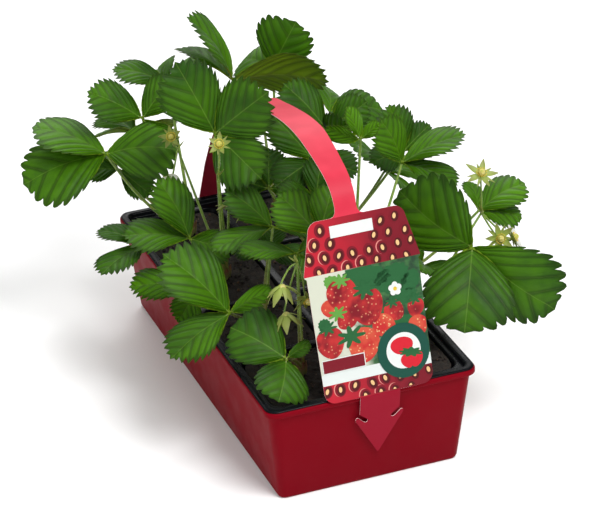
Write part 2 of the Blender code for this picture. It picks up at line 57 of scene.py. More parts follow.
# Leaf: cell, hub, (facing azimuth, elevation), bow, leaflets (tip x, y, z, roll and, where it
# differs, relative width), and its look: shape, tone from dark (0) to fresh (1).
LEAVES = {
    "leaf_01": (7, (-115, 125, 180), (-20, 40), 25, [
        (-185, 130, 165, 20), (-168, 150, 205, 45), (-62, 95, 188, -20)], "crenate", 0.6),
    "leaf_02": (7, (-79, 130, 204), (-20, 45), 5, [
        (-120, 142, 232, 10), (-52, 122, 238, -10), (-62, 105, 180, 15)], "serrate", 0.4),
    "leaf_03": (7, (-40, 175, 210), (-20, 50), 5, [
        (-82, 192, 226, 30), (-2, 178, 228, -40), (-35, 222, 205, -20)], "serrate", 0.3),
    "leaf_04": (8, (0, 120, 229), (150, 45), 10, [
        (-31, 130, 288, -64), (-30, 166, 246, -30), (74, 92, 226, -15)], "serrate", 0.5),
    "leaf_05": (8, (46, 145, 222), (-10, 40), 0, [
        (62, 130, 265, 0), (92, 145, 208, -40), (34, 185, 216, 0)], "broad", 0.6),
    "leaf_06": (6, (61, 60, 197), (-15, 35), 5, [
        (35, 85, 232, 20), (98, 60, 214, 20), (66, 25, 214, 60)], "serrate", 0.3),
    "leaf_07": (5, (-50, 25, 230), (-20, 40), 10, [
        (-75, 40, 290, 0), (-15, -5, 272, 10), (-31, -26, 209, 10)], "serrate", 0.25),
    "leaf_08": (4, (56, -30, 227), (-20, 40), 0, [
        (30, -22, 240, -60), (48, -22, 254, 40), (70, -38, 242, -30)], "young", 1.0),
    "leaf_09": (4, (105, 0, 182), (-10, 65), 10, [
        (154, -15, 206, -20), (88, 2, 224, 0), (138, -36, 172, -20)], "serrate", 0.6),
    "leaf_10": (2, (115, -120, 158), (-20, 35), 10, [
        (68, -85, 200, -40), (88, -165, 112, 0), (164, -165, 113, 35, 0.74)], "broad", 0.3),
    "leaf_11": (4, (148, -60, 156), (-10, 60), 20, [
        (188, -60, 174, -20), (178, -78, 152, -20), (150, -38, 172, 40)], "crenate", 0.7),
    "leaf_12": (5, (-78, 20, 141), (-20, 50), 10, [
        (-95, 42, 188, 30), (-130, 32, 150, 30), (-52, -8, 140, 40)], "serrate", 0.4),
    "leaf_13": (3, (-23, -30, 163), (-20, 55), 0, [
        (-55, -12, 196, 20), (-76, -35, 156, 40), (8, -45, 162, -30)], "serrate", 0.45),
    "leaf_14": (1, (-18, -72, 158), (-20, 60), 0, [
        (-64, -68, 168, 30), (16, -70, 172, -40), (-12, -114, 146, -30)], "serrate", 0.5),
    "leaf_15": (3, (-77, -70, 116), (-20, 45), 5, [
        (-118, -38, 162, 20), (-132, -84, 96, 30), (-48, -88, 138, -40)], "serrate", 0.5),
    "leaf_16": (7, (-112, 40, 132), (-40, 60), 0, [
        (-156, 18, 128, 20), (-142, 66, 142, 30), (-85, 60, 122, -20)], "serrate", 0.2),
    "leaf_17": (5, (-82, 2, 101), (-30, 55), -10, [
        (-132, 15, 112, 30), (-106, -24, 92, -40), (-95, 42, 100, 30)], "serrate", 0.6),
    "leaf_18": (1, (-59, -150, 112), (-20, 40), -5, [
        (-92, -120, 132, 10), (-76, -178, 94, -20, 1.2), (-42, -158, 124, -50)], "broad", 0.1),
    "leaf_19": (6, (35, 25, 188), (-20, 45), 0, [
        (8, 45, 226, 0), (-3, 12, 178, 0), (66, 5, 180, 0)], "serrate", 0.15),
    "leaf_20": (4, (24, -8, 168), (-30, 45), 0, [
        (-10, -10, 182, 0), (36, 6, 200, 0), (38, -32, 158, 0)], "serrate", 0.15),
    "leaf_21": (2, (-6, -92, 182), (-20, 50), 0, [
        (12, -78, 216, 0), (-28, -64, 210, 0), (32, -100, 180, 30)], "serrate", 0.7),
    "leaf_22": (6, (125, 45, 168), (-10, 50), 10, [
        (120, 60, 206, 0), (152, 50, 186, 0), (92, 34, 170, 0)], "serrate", 0.2),
    "leaf_23": (8, (100, 150, 165), (60, 50), 15, [
        (150, 150, 160, 0), (115, 195, 170, 0), (115, 108, 165, 0)], "crenate", 0.4),
    "leaf_24": (8, (60, 215, 150), (150, 50), 15, [
        (60, 262, 150, 0), (105, 228, 150, 0), (16, 232, 150, 0)], "crenate", 0.5),
    "leaf_25": (7, (-60, 215, 150), (-150, 50), 15, [
        (-75, 262, 150, 0), (-108, 215, 150, 0), (-22, 232, 140, 0)], "serrate", 0.4),
    "leaf_26": (6, (122, 78, 136), (80, 50), 15, [
        (168, 95, 116, 0), (88, 76, 172, 0), (138, 45, 118, 0)], "crenate", 0.5),
    "leaf_27": (7, (-92, 166, 142), (-30, 50), 10, [
        (-72, 144, 124, 10), (-104, 200, 134, 0), (-128, 164, 150, 0)], "serrate", 0.3),
    "leaf_28": (2, (90, -75, 125), (40, 50), 5, [
        (118, -86, 112, 0), (84, -45, 140, 0), (78, -106, 138, 0)], "serrate", 0.3),
    "leaf_29": (3, (-15, 5, 120), (-20, 70), 0, [
        (-42, 15, 125, 0), (0, 28, 130, 0), (8, -18, 125, 0)], "serrate", 0.1),
    "leaf_30": (6, (15, 80, 140), (-20, 50), 0, [
        (-15, 92, 150, 0), (25, 105, 165, 0), (35, 62, 145, 0)], "serrate", 0.1),
}

# Truss: cell, fork, and its heads: place, direction it opens to, what it is.
TRUSSES = {
    "flower_truss_1": (1, (-40, -130, 184), [
        (-54, -132, 166, (-0.1, -0.2, -1.0), "set"),
        (-50, -128, 138, (0.1, -0.3, -1.0), "set"),
        (-33, -132, 150, (0.1, -0.7, -0.4), "star")]),
    "flower_truss_2": (5, (-44, 12, 190), [
        (-47, 0, 180, (-0.3, -0.2, -1.0), "dry"),
        (-34, 2, 170, (0.0, -0.3, -1.0), "dry")]),
    "flower_truss_3": (5, (-62, -14, 212), [
        (-64, -25, 245, (-0.3, -0.7, 0.6), "small")]),
    "flower_truss_4": (2, (136, -92, 172), [
        (134, -96, 210, (-0.1, -0.5, 0.8), "star"),
        (146, -106, 153, (0.0, -0.8, 0.2), "star"),
        (162, -98, 146, (0.8, -0.4, 0.5), "flower")]),
    "flower_truss_5": (5, (-62, 90, 190), [
        (-70, 82, 206, (-0.2, -0.8, 0.4), "small"),
        (-78, 66, 170, (-0.4, -0.8, 0.2), "flower")]),
}

# Leaflet shapes: teeth on each side, where on the margin they start, how deep they are
# (share of length), whether they are blunt, width over length, base and tip powers of the
# outline, fold of the halves (degrees), arch of the midrib (share of length), depth of the
# pleats between veins (mm).
Shape = namedtuple("Shape", "teeth start depth blunt width base tip fold arch pleat")
SHAPES = {
    "serrate": Shape(9, 0.34, 0.095, False, 0.86, 0.95, 0.50, 14, 0.07, 1.1),
    "crenate": Shape(8, 0.28, 0.085, True, 0.98, 0.80, 0.46, 10, 0.09, 0.9),
    "broad": Shape(8, 0.26, 0.085, True, 1.1, 0.78, 0.44, 8, 0.08, 0.9),
    "young": Shape(8, 0.30, 0.06, False, 0.86, 0.85, 0.55, 24, 0.02, 1.1),
}
HUB_RADIUS = 2.4
PETIOLE_RING = 3.6
STEM_PITCH = 60.0
LEAF_THICKNESS = 0.35
# Shares of the way from midrib to margin, and (phase, height) steps along one tooth.
COLUMNS = (0.1, 0.26, 0.45, 0.64, 0.8, 0.92, 1.0)
TOOTH_SHARP = ((0.0, 0.0), (0.1, 0.32), (0.35, 0.72), (0.6, 1.0), (0.8, 0.55))
TOOTH_BLUNT = ((0.0, 0.0), (0.1, 0.5), (0.35, 0.92), (0.6, 1.0), (0.8, 0.8))
TOOTH_TIP = 0.6
LEAF_LAYERS = ("vein", "rib", "pleat", "tone")
# Places of the materials on a leaf.
BLADE, BLADE_BACK, PETIOLE, PETIOLE_HAIR = range(4)


class Surface:
    """A Principled material, with short-hand for the nodes that feed it."""

    def __init__(self, name, colour=(0.5, 0.5, 0.5), roughness=0.5, **sockets):
        self.material = bpy.data.materials.new(name)
        self.material.use_nodes = True
        self.tree = self.material.node_tree
        self.shader = self.tree.nodes["Principled BSDF"]
        self.shader.inputs["Base Color"].default_value = (*colour, 1)
        self.shader.inputs["Roughness"].default_value = roughness
        for socket, value in sockets.items():
            self.shader.inputs[socket.replace("_", " ")].default_value = value
        self.place = self.tree.nodes.new("ShaderNodeTexCoord").outputs["Object"]

    def feed(self, socket, value):
        if isinstance(value, bpy.types.NodeSocket):
            self.tree.links.new(value, socket)
        elif isinstance(value, tuple) and len(value) == 3 and socket.type == "RGBA":
            socket.default_value = (*value, 1)
        else:
            socket.default_value = value

    def node(self, kind, feeds, **settings):
        made = self.tree.nodes.new(kind)
        for key, value in settings.items():
            setattr(made, key, value)
        for socket, value in feeds.items():
            self.feed(made.inputs[socket], value)
        return made

    def math(self, operation, a, b=0.0, clamp=False):
        return self.node("ShaderNodeMath", {0: a, 1: b}, operation=operation,
                         use_clamp=clamp).outputs[0]

    def stretch(self, scale):
        return self.node("ShaderNodeMapping", {"Vector": self.place, "Scale": scale}).outputs[0]

    def noise(self, scale, detail=3.0, vector=None, rough=0.5):
        return self.node("ShaderNodeTexNoise", {
            "Vector": vector or self.place, "Scale": scale, "Detail": detail,
            "Roughness": rough}).outputs["Fac"]

    def cells(self, scale, feature="F1", vector=None):
        return self.node("ShaderNodeTexVoronoi", {
            "Vector": vector or self.place, "Scale": scale}, feature=feature).outputs["Distance"]

    def value(self, name):
        return self.node("ShaderNodeAttribute", {}, attribute_name=name).outputs["Fac"]

    def band(self, value, low, high, to_low=0.0, to_high=1.0):
        """The value moved from low..high to to_low..to_high, smoothly, and kept inside."""
        return self.node("ShaderNodeMapRange", {
            "Value": value, "From Min": low, "From Max": high, "To Min": to_low,
            "To Max": to_high}, interpolation_type="SMOOTHSTEP").outputs[0]

    def mix(self, factor, a, b, blend="MIX"):
        made = self.node("ShaderNodeMix", {}, data_type="RGBA", blend_type=blend)
        for index, value in ((0, factor), (6, a), (7, b)):
            self.feed(made.inputs[index], value)
        return made.outputs[2]

    def colour(self, value):
        self.feed(self.shader.inputs["Base Color"], value)

    def roughness(self, value):
        self.feed(self.shader.inputs["Roughness"], value)

    def bump(self, height, distance, strength=1.0):
        made = self.node("ShaderNodeBump", {
            "Height": height, "Distance": distance, "Strength": strength})
        self.feed(self.shader.inputs["Normal"], made.outputs[0])

    def translucent(self, share, colour):
        """Lets some light through the sheet."""
        through = self.node("ShaderNodeBsdfTranslucent", {"Color": colour})
        mixed = self.node("ShaderNodeMixShader", {0: share, 1: self.shader.outputs[0],
                                                  2: through.outputs[0]})
        self.tree.links.new(mixed.outputs[0],
                            self.tree.nodes["Material Output"].inputs["Surface"])


def leaf_surface(name, dark, fresh, vein, line, gloss, through):
    """A blade's surface: tone by leaf, cloudy variation, painted shade along the pleat valleys and
    painted highlight on the pleat ridges, pale veins and a fine net of lines.
    """
    made = Surface(name, roughness=gloss, Specular_IOR_Level=0.14)
    cloud = made.noise(26, 3, rough=0.6)
    tone = made.math("ADD", made.value("tone"), made.band(cloud, 0.3, 0.7, -0.3, 0.3), True)
    blade = made.mix(tone, dark, fresh)
    # Painted shade and highlight: the colour is darker in the pleat valleys and lighter on the
    # pleat ridges.
    pleat_shade_and_highlight = made.band(made.value("pleat"), 0.0, 0.42, 0.42, 1.14)
    shaded = made.node("ShaderNodeHueSaturation", {"Value": pleat_shade_and_highlight, "Color": blade}).outputs[0]
    side_vein = made.band(made.value("vein"), 0.05, 0.3, 0.32, 0.0)
    midrib = made.band(made.value("rib"), 0.2, 0.8, 1.0, 0.0)
    veins = made.math("MAXIMUM", side_vein, midrib)
    made.colour(made.mix(made.math("MULTIPLY", veins, line), shaded, vein))
    net = made.band(made.cells(620, "DISTANCE_TO_EDGE"), 0.0, 0.25)
    grain = made.noise(1400, 2)
    made.bump(made.math("ADD", made.math("MULTIPLY", net, 0.7), grain), 0.00018, 0.6)
    made.roughness(made.band(grain, 0.3, 0.7, gloss - 0.06, gloss + 0.1))
    made.translucent(0.22, through)
    return made.material


UPPER = leaf_surface("leaf upper side", (0.02, 0.068, 0.004), (0.07, 0.2, 0.002),
                     (0.14, 0.27, 0.03), 0.6, 0.42, (0.14, 0.36, 0.004))
UNDER = leaf_surface("leaf underside", (0.09, 0.16, 0.006), (0.16, 0.27, 0.01),
                     (0.26, 0.36, 0.06), 0.8, 0.6, (0.3, 0.5, 0.01))


def stalk_surface():
    made = Surface("petiole", roughness=0.5)
    streak = made.noise(60, 4, made.stretch((14, 14, 1)))
    green = made.mix(made.band(streak, 0.35, 0.65), (0.1, 0.19, 0.015), (0.21, 0.32, 0.04))
    height = made.node("ShaderNodeSeparateXYZ", {0: made.place}).outputs[2]
    made.colour(made.mix(made.band(height, 0.09, 0.14, 0.45, 0.0), green, (0.22, 0.1, 0.04)))
    made.bump(streak, 0.0003)
    return made.material


STALK = stalk_surface()
HAIR = Surface("plant hair", (0.62, 0.68, 0.5), 0.55).material


# Mesh helpers

def mesh_of(name, bm):
    mesh = bpy.data.meshes.new(name)
    bm.to_mesh(mesh)
    bm.free()
    return mesh


def placed(name, data):
    """A new object in the scene."""
    item = bpy.data.objects.new(name, data)
    bpy.context.scene.collection.objects.link(item)
    return item


def finish_piece(name, bm, materials, slot, *nodes, smooth=40):
    """Makes the mesh an object that rides on the frame and stands for the named nodes."""
    mesh = mesh_of(name, bm)
    mesh.polygons.foreach_set("use_smooth", [True] * len(mesh.polygons))
    mesh.set_sharp_from_angle(angle=radians(smooth))
    piece = placed(name, mesh)
    for surface in materials:
        mesh.materials.append(surface)
    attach(piece, "root")
    if nodes:
        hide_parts(*nodes)


def thickened(bm, thickness, shift=1, offset=-1):
    """The sheet as a thin closed solid: underside and rim get the material shift places on."""
    mesh = mesh_of("sheet", bm)
    for _ in range(shift + 1):
        mesh.materials.append(None)
    item = placed("sheet", mesh)
    modifier = item.modifiers.new("thickness", "SOLIDIFY")
    modifier.thickness = thickness
    modifier.offset = offset
    modifier.material_offset = shift
    modifier.material_offset_rim = shift
    evaluated = item.evaluated_get(bpy.context.evaluated_depsgraph_get())
    solid = bmesh.new()
    solid.from_mesh(evaluated.to_mesh())
    evaluated.to_mesh_clear()
    bpy.data.objects.remove(item)
    bpy.data.meshes.remove(mesh)
    return solid


def face_up(bm):
    """Turns the whole sheet so that its front looks up."""
    bmesh.ops.recalc_face_normals(bm, faces=bm.faces)
    if sum(face.normal.z for face in bm.faces) < 0:
        bmesh.ops.reverse_faces(bm, faces=bm.faces)


def paint(verts, material):
    for vert in verts:
        for face in vert.link_faces:
            face.material_index = material


def loft(bm, rings):
    """Skins rings of vertices, each with the next."""
    for lower, upper in zip(rings, rings[1:]):
        for i in range(len(lower)):
            j = (i + 1) % len(lower)
            bm.faces.new((lower[i], lower[j], upper[j], upper[i]))


def box_of(name):
    """Middle, half sizes and top of a node's box."""
    low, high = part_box(name)
    return (low + high) / 2, (high - low) / 2, high.z


def curve_points(points, per_span=5):
    """Points along a smooth curve through the given ones."""
    ends = [points[0] * 2 - points[1], *points, points[-1] * 2 - points[-2]]
    path = []
    for i in range(1, len(ends) - 2):
        before, start, end, after = ends[i - 1:i + 3]
        for step in range(per_span):
            t = step / per_span
            path.append(0.5 * (2 * start + (end - before) * t
                               + (2 * before - 5 * start + 4 * end - after) * t * t
                               + (3 * start - before - 3 * end + after) * t ** 3))
    return path + [points[-1]]


def add_tube(bm, path, radii, material, sides=8):
    """A closed tube of changing radius along the path."""
    rings = []
    normal = (path[1] - path[0]).orthogonal().normalized()
    for i, point in enumerate(path):
        ahead = (path[min(i + 1, len(path) - 1)] - path[max(i - 1, 0)]).normalized()
        normal = (normal - ahead * normal.dot(ahead)).normalized()
        other = ahead.cross(normal)
        turns = [2 * pi * side / sides for side in range(sides)]
        rings.append([bm.verts.new(point + (normal * cos(turn) + other * sin(turn)) * radii[i])
                      for turn in turns])
    loft(bm, rings)
    bm.faces.new(rings[0][::-1])
    bm.faces.new(rings[-1])
    paint(sum(rings, []), material)


def tapering(first, last, path):
    """Radii (m) along a path, from the first to the last one given (mm)."""
    return [(first + (last - first) * i / (len(path) - 1)) * MM for i in range(len(path))]


def add_hairs(bm, path, radii, count, length, material, rng):
    """Fine tapered hairs that stand off a stem."""
    for _ in range(count):
        place = rng.uniform(0.5, len(path) - 1.5)
        i = int(place)
        ahead = (path[i + 1] - path[i]).normalized()
        out = ahead.orthogonal().normalized()
        out.rotate(Matrix.Rotation(rng.uniform(0, 2 * pi), 3, ahead))
        foot = path[i].lerp(path[i + 1], place - i) + out * radii[i] * 0.8
        tip = foot + (out + ahead * rng.uniform(-0.3, 0.6)) * length * rng.uniform(0.6, 1.2)
        across = ahead.cross(out) * 0.06 * MM
        along = ahead * 0.1 * MM
        a, b, c, d = (bm.verts.new(p) for p in (foot + across, foot - across, foot + along, tip))
        for corners in ((a, b, d), (b, c, d), (c, a, d), (a, c, b)):
            bm.faces.new(corners).material_index = material


def from_mm(point):
    return Vector(point) * MM


def facing_vector(azimuth, elevation):
    """Unit vector, with azimuth 0 towards -Y and growing towards +X."""
    a = radians(azimuth)
    e = radians(elevation)
    return Vector((sin(a) * cos(e), -cos(a) * cos(e), sin(e)))


# Leaves

def outline(share, shape):
    """Half width of a leaflet at this share of its length, 1 at its widest."""
    a, b = shape.base, shape.tip
    peak = a / (a + b)
    return (share ** a * (1 - share) ** b) / (peak ** a * (1 - peak) ** b)


def margin_steps(shape):
    """Steps along one margin: (place 0..1, phase in its tooth, tooth height 0..1)."""
    pitch = (0.985 - shape.start) / shape.teeth
    profile = TOOTH_BLUNT if shape.blunt else TOOTH_SHARP
    first = -int(shape.start / pitch)
    steps = []
    for tooth in range(first, shape.teeth):
        for phase, height in profile:
            place = shape.start + (tooth + phase) * pitch
            if place > 0.02:
                grown = min(1.0, max(0.0, (tooth + 1.0) / 1.5))
                steps.append((place, phase, height * grown))
    return steps, pitch


def add_leaflet(bm, hub, tip, facing, roll, shape, tone, inner, rng, swollen=1.0):
    """One leaflet: rows along the margin, each running from margin to margin by the midrib."""
    along = (tip - hub).normalized()
    base = hub + along * HUB_RADIUS * MM
    length = (tip - base).length
    up = (facing - along * facing.dot(along)).normalized()
    up.rotate(Matrix.Rotation(radians(roll), 3, along))
    side = along.cross(up)
    inner_sign = 0 if inner is None else (1 if inner.dot(side) > 0 else -1)
    layers = [bm.verts.layers.float[key] for key in LEAF_LAYERS]
    steps, pitch = margin_steps(shape)
    fold = radians(shape.fold + rng.uniform(-3, 3))
    arch = shape.arch + rng.uniform(-0.015, 0.015)
    droop = rng.uniform(0.0, 0.05)
    twist = rng.uniform(-0.12, 0.12)
    wave_phase = rng.uniform(0, 6.28)
    half = length * shape.width / 2 * rng.uniform(0.96, 1.04) * swollen
    tooth_mm = length / MM * 1.25 * pitch
    tone += rng.uniform(-0.08, 0.08)

    def place_vert(x, y, phase, s):
        share = min(max(x / length, 0.0), 1.02)
        d = (phase - TOOTH_TIP + 0.5) % 1.0 - 0.5
        ridge = 0.5 - 0.5 * cos(2 * pi * d)
        rise = shape.pleat * MM * ridge * sin(pi * min(s, 0.93)) ** 0.6
        lift = arch * length * sin(pi * min(share, 1.0)) - droop * length * share ** 3
        lift += abs(y) * sin(fold) - 0.22 * y * y / half
        lift += rise + 0.012 * length * s ** 3 * sin(9 * share + wave_phase)
        lift += twist * y * share
        vert = bm.verts.new(base + along * x + side * (y * cos(fold)) + up * lift)
        # The pleat mark, low in the valleys and high on the ridges, drives painted shade and
        # painted highlight in the blade's colour.
        marks = (abs(d) * tooth_mm * (0.35 + 0.65 * s), abs(y) / MM * (1.0 + share),
                 ridge * (1 - s ** 6), tone)
        for layer, mark in zip(layers, marks):
            vert[layer] = mark
        return vert

    rows = []
    for place, phase, height in steps:
        share = (1 - cos(pi * place)) / 2
        origin = length * share ** 6.0 * 0.97
        for sign in (-1, 1):
            swell = 1.0
            if inner_sign:
                swell = 0.9 if sign == inner_sign else 1.08
            reach = Vector((length * share, half * outline(share, shape) * swell))
            start = Vector((origin, 0.0))
            direction = (reach - start).normalized()
            jag = 1 + 0.15 * sin(wave_phase + 40 * place + sign)
            reach += direction * (height - 0.5) * shape.depth * length * jag
            points = []
            for s in COLUMNS:
                point = start.lerp(reach, s)
                point.x -= 0.035 * length * sin(pi * s) * (1 - share)
                points.append(place_vert(point.x, sign * point.y, phase, s))
            if sign < 0:
                row = points[::-1] + [place_vert(origin, 0.0, phase, 0.0)]
            else:
                row += points
        rows.append(row)
    for row, after in zip(rows, rows[1:]):
        for j in range(len(row) - 1):
            bm.faces.new((row[j], row[j + 1], after[j + 1], after[j]))
    last = rows[-1]
    end = place_vert(length * (1 + shape.depth * 0.5), 0.0, TOOTH_TIP, 1.0)
    for j in range(len(last) - 1):
        bm.faces.new((last[j], last[j + 1], end))
    foot = place_vert(-0.5 * MM, 0.0, TOOTH_TIP, 0.0)
    for j in range(len(rows[0]) - 1):
        bm.faces.new((rows[0][j + 1], rows[0][j], foot))


def stem_ring(cell):
    """Heading of each stem on one crown's ring: kept in order, one pitch apart."""
    middle, _, _ = box_of("crown_%d" % cell)
    wanted = []
    for name, (home, (x, y, z), *_) in sorted({**LEAVES, **TRUSSES}.items()):
        if home == cell:
            wanted.append((atan2(y * MM - middle.y, x * MM - middle.x), name))
    wanted.sort()
    pitch = radians(STEM_PITCH)
    shifts = [heading - pitch * count for count, (heading, name) in enumerate(wanted)]
    turn = atan2(sum(sin(v) for v in shifts), sum(cos(v) for v in shifts))
    return {name: turn + pitch * count for count, (heading, name) in enumerate(wanted)}


def stem_start(name, cell):
    """Where a named stem leaves its crown, a little inside the crown's top."""
    middle, _, top = box_of("crown_%d" % cell)
    heading = stem_ring(cell)[name]
    ring = PETIOLE_RING * MM
    return Vector((middle.x + ring * cos(heading), middle.y + ring * sin(heading),
                   top - 1.5 * MM))


def stem_points(start, end, bow, steps):
    """A bent stem: positive bow sags outwards first, negative bow rises first."""
    middle = (start + end) / 2 - Vector((0.0, 0.0, bow))
    return [start * (1 - t) ** 2 + middle * (2 * t * (1 - t)) + end * t ** 2
            for t in (step / steps for step in range(steps + 1))]


def make_leaf(name):
    cell, hub, (azimuth, elevation), bow, leaflets, kind, tone = LEAVES[name]
    rng = random.Random(name)
    hub = from_mm(hub)
    facing = facing_vector(azimuth, elevation)
    shape = SHAPES[kind]
    tips = [from_mm(entry[:3]) for entry in leaflets]
    ways = [(tip - hub).normalized() for tip in tips]
    closeness = [sum(way.dot(other) for other in ways) for way in ways]
    middle = closeness.index(max(closeness))
    blades = bmesh.new()
    for key in LEAF_LAYERS:
        blades.verts.layers.float.new(key)
    for i, entry in enumerate(leaflets):
        inner = None if i == middle else ways[middle]
        add_leaflet(blades, hub, tips[i], facing, entry[3], shape, tone, inner, rng, *entry[4:])
    leaf = thickened(blades, LEAF_THICKNESS * MM, BLADE_BACK - BLADE)
    path = curve_points(stem_points(stem_start(name, cell), hub, bow * MM, 4), 5)
    radii = tapering(1.65, 1.1, path)
    radii[0] *= 1.3
    add_tube(leaf, path, radii, PETIOLE)
    for way in ways:
        stub = [hub + way * reach * MM for reach in (-0.4, 1.5, 4.5)]
        add_tube(leaf, stub, [0.9 * MM, 0.75 * MM, 0.45 * MM], PETIOLE, 6)
    hairs_per_mm = 5 if kind == "young" else 2
    long = sum((b - a).length for a, b in zip(path, path[1:]))
    add_hairs(leaf, path, radii, int(long / MM * hairs_per_mm), 1.3 * MM, PETIOLE_HAIR, rng)
    finish_piece(name, leaf, [UPPER, UNDER, STALK, HAIR], "leaf", name, smooth=55)


for leaf_name in LEAVES:
    make_leaf(leaf_name)


# Flower trusses

def petal_surface(name, base, tip, roughness, share, through):
    made = Surface(name, roughness=roughness)
    along = made.value("along")
    blotch = made.noise(300, 3)
    colour = made.mix(made.band(along, 0.15, 0.9), base, tip)
    made.colour(made.mix(made.band(blotch, 0.45, 0.75, 0.0, 0.5), colour, base))
    made.bump(made.noise(900, 2), 0.0002)
    made.translucent(share, through)
    return made.material


SEPAL = petal_surface("sepal", (0.33, 0.42, 0.08), (0.24, 0.27, 0.06), 0.5, 0.25, (0.4, 0.5, 0.05))
DRY_SEPAL = petal_surface("fading sepal", (0.3, 0.27, 0.09), (0.2, 0.11, 0.04), 0.7, 0.15,
                          (0.4, 0.35, 0.1))
PETAL = petal_surface("petal", (0.86, 0.86, 0.78), (0.9, 0.9, 0.9), 0.4, 0.35, (0.9, 0.9, 0.88))


def fruit_surface():
    made = Surface("young fruit", roughness=0.45)
    made.colour(made.mix(made.band(made.noise(220, 3), 0.35, 0.65), (0.36, 0.42, 0.06),
                         (0.55, 0.5, 0.16)))
    made.bump(made.cells(700), 0.0005)
    return made.material


FRUIT = fruit_surface()
SEED = Surface("achene", (0.2, 0.12, 0.03), 0.5).material
ANTHER = Surface("anther", (0.75, 0.5, 0.03), 0.6).material
FLOWER_SURFACES = [SEPAL, SEPAL, DRY_SEPAL, DRY_SEPAL, PETAL, PETAL, STALK, HAIR, FRUIT, SEED,
                   ANTHER]
# Their places; sepals and petals have their undersides one place on.
GREEN, DRY, WHITE, STEM_M, HAIR_M, FRUIT_M, SEED_M, ANTHER_M = 0, 2, 4, 6, 7, 8, 9, 10


def add_sepal(bm, foot, ahead, face, length, width, curl, cup, blunt, material, rows=7):
    """A small pointed or rounded sheet that curls away from the side it faces."""
    layer = bm.verts.layers.float["along"]
    across = ahead.cross(face).normalized()
    place = foot.copy()
    heading = ahead.normalized()
    grid = []
    for i in range(rows + 1):
        t = i / rows
        half = width / 2 * (sin(pi * min(0.98, 0.12 + 0.88 * t ** (0.8 + 0.9 * blunt)))
                            ** (0.9 - 0.4 * blunt))
        normal = across.cross(heading)
        row = []
        for j in (-1.0, -0.5, 0.0, 0.5, 1.0):
            vert = bm.verts.new(place + across * half * j + normal * cup * half * j * j)
            vert[layer] = t
            row.append(vert)
        grid.append(row)
        place = place + heading * length / rows
        heading.rotate(Matrix.Rotation(curl / rows, 3, across))
    for row, after in zip(grid, grid[1:]):
        for j in range(4):
            bm.faces.new((row[j], row[j + 1], after[j + 1], after[j])).material_index = material


def add_ball(bm, middle, size, material, turn=None, detail=1):
    """A ball or an egg, its half sizes in mm."""
    half = Matrix.Diagonal((*(value * MM for value in size), 1))
    matrix = Matrix.Translation(middle) @ (turn or Matrix.Identity(4)) @ half
    made = bmesh.ops.create_icosphere(bm, subdivisions=detail, radius=1.0, matrix=matrix)
    paint(made["verts"], material)


# Head: material of the sepals, how far they open and curl (degrees), their length and width
# and the fruit's radius (mm).
HEADS = {
    "set": (GREEN, 58, 34, 18.0, 6.6, 4.0),
    "star": (GREEN, 84, 14, 12.5, 5.0, 2.8),
    "small": (GREEN, 80, 20, 9.0, 4.0, 2.4),
    "dry": (DRY, 34, -8, 16.0, 5.6, 2.4),
    "flower": (GREEN, 86, 10, 8.0, 4.6, 2.6),
}
RING_OF = 5
PETAL_RING = (74, 1.6, 9.5, 10.5, 12, 0.2, 1.0, WHITE)
ACHENES = 44
STAMENS = 18


def add_head(sheets, solids, place, direction, kind, rng):
    """A calyx of two rings of sepals, its fruit with achenes, and petals and stamens."""
    material, opening, curl, length, width, fruit = HEADS[kind]
    axis = Vector(direction).normalized()
    turn = axis.to_track_quat("Z", "Y").to_matrix()
    spin = rng.uniform(0, 6.28)

    def out_at(angle):
        return turn @ Vector((cos(angle), sin(angle), 0))

    def ring(wide, radius, long, broad, bend, cup, blunt, surface, offset=0.0):
        for i in range(RING_OF):
            out = out_at(spin + offset + 2 * pi * i / RING_OF + rng.uniform(-0.12, 0.12))
            lean = radians(wide + rng.uniform(-9, 9))
            ahead = out * sin(lean) + axis * cos(lean)
            face = axis * sin(lean) - out * cos(lean)
            add_sepal(sheets, place + out * radius * MM - axis * 1.2 * MM, ahead, face,
                      long * rng.uniform(0.9, 1.1) * MM, broad * rng.uniform(0.9, 1.1) * MM,
                      radians(bend + rng.uniform(-10, 10)), cup, blunt, surface)

    between = pi / RING_OF
    ring(opening, 1.4, length, width, curl, 0.25, 0.0, material)
    ring(opening + 12, 1.5, length * 0.85, width * 0.5, curl, 0.1, 0.0, material, between)
    if kind == "flower":
        ring(*PETAL_RING, between)
    matrix = turn.to_4x4()
    heart = place + axis * fruit * 0.6 * MM
    add_ball(solids, place - axis * 1.0 * MM, (2.3, 2.3, 1.5), STEM_M, matrix, 2)
    add_ball(solids, heart, (fruit, fruit, fruit * 1.25), FRUIT_M, matrix, 3)
    golden = pi * (3 - sqrt(5))
    for i in range(ACHENES):
        height = 1 - 1.5 * (i + 0.5) / ACHENES
        flat = sqrt(1 - height * height)
        way = turn @ Vector((flat * cos(golden * i), flat * sin(golden * i), height * 1.25))
        add_ball(solids, heart + way * fruit * MM, (0.3, 0.3, 0.3),
                 SEED_M if kind in ("set", "dry") else ANTHER_M)
    if kind in ("flower", "star", "small"):
        for i in range(STAMENS):
            out = out_at(spin + 2 * pi * i / STAMENS)
            foot = place + out * fruit * 0.9 * MM
            tip = foot + (out * 1.6 + axis * rng.uniform(1.6, 2.6)) * MM
            add_tube(solids, [foot, tip], [0.14 * MM, 0.1 * MM], GREEN, 4)
            add_ball(solids, tip, (0.55, 0.4, 0.4), ANTHER_M)


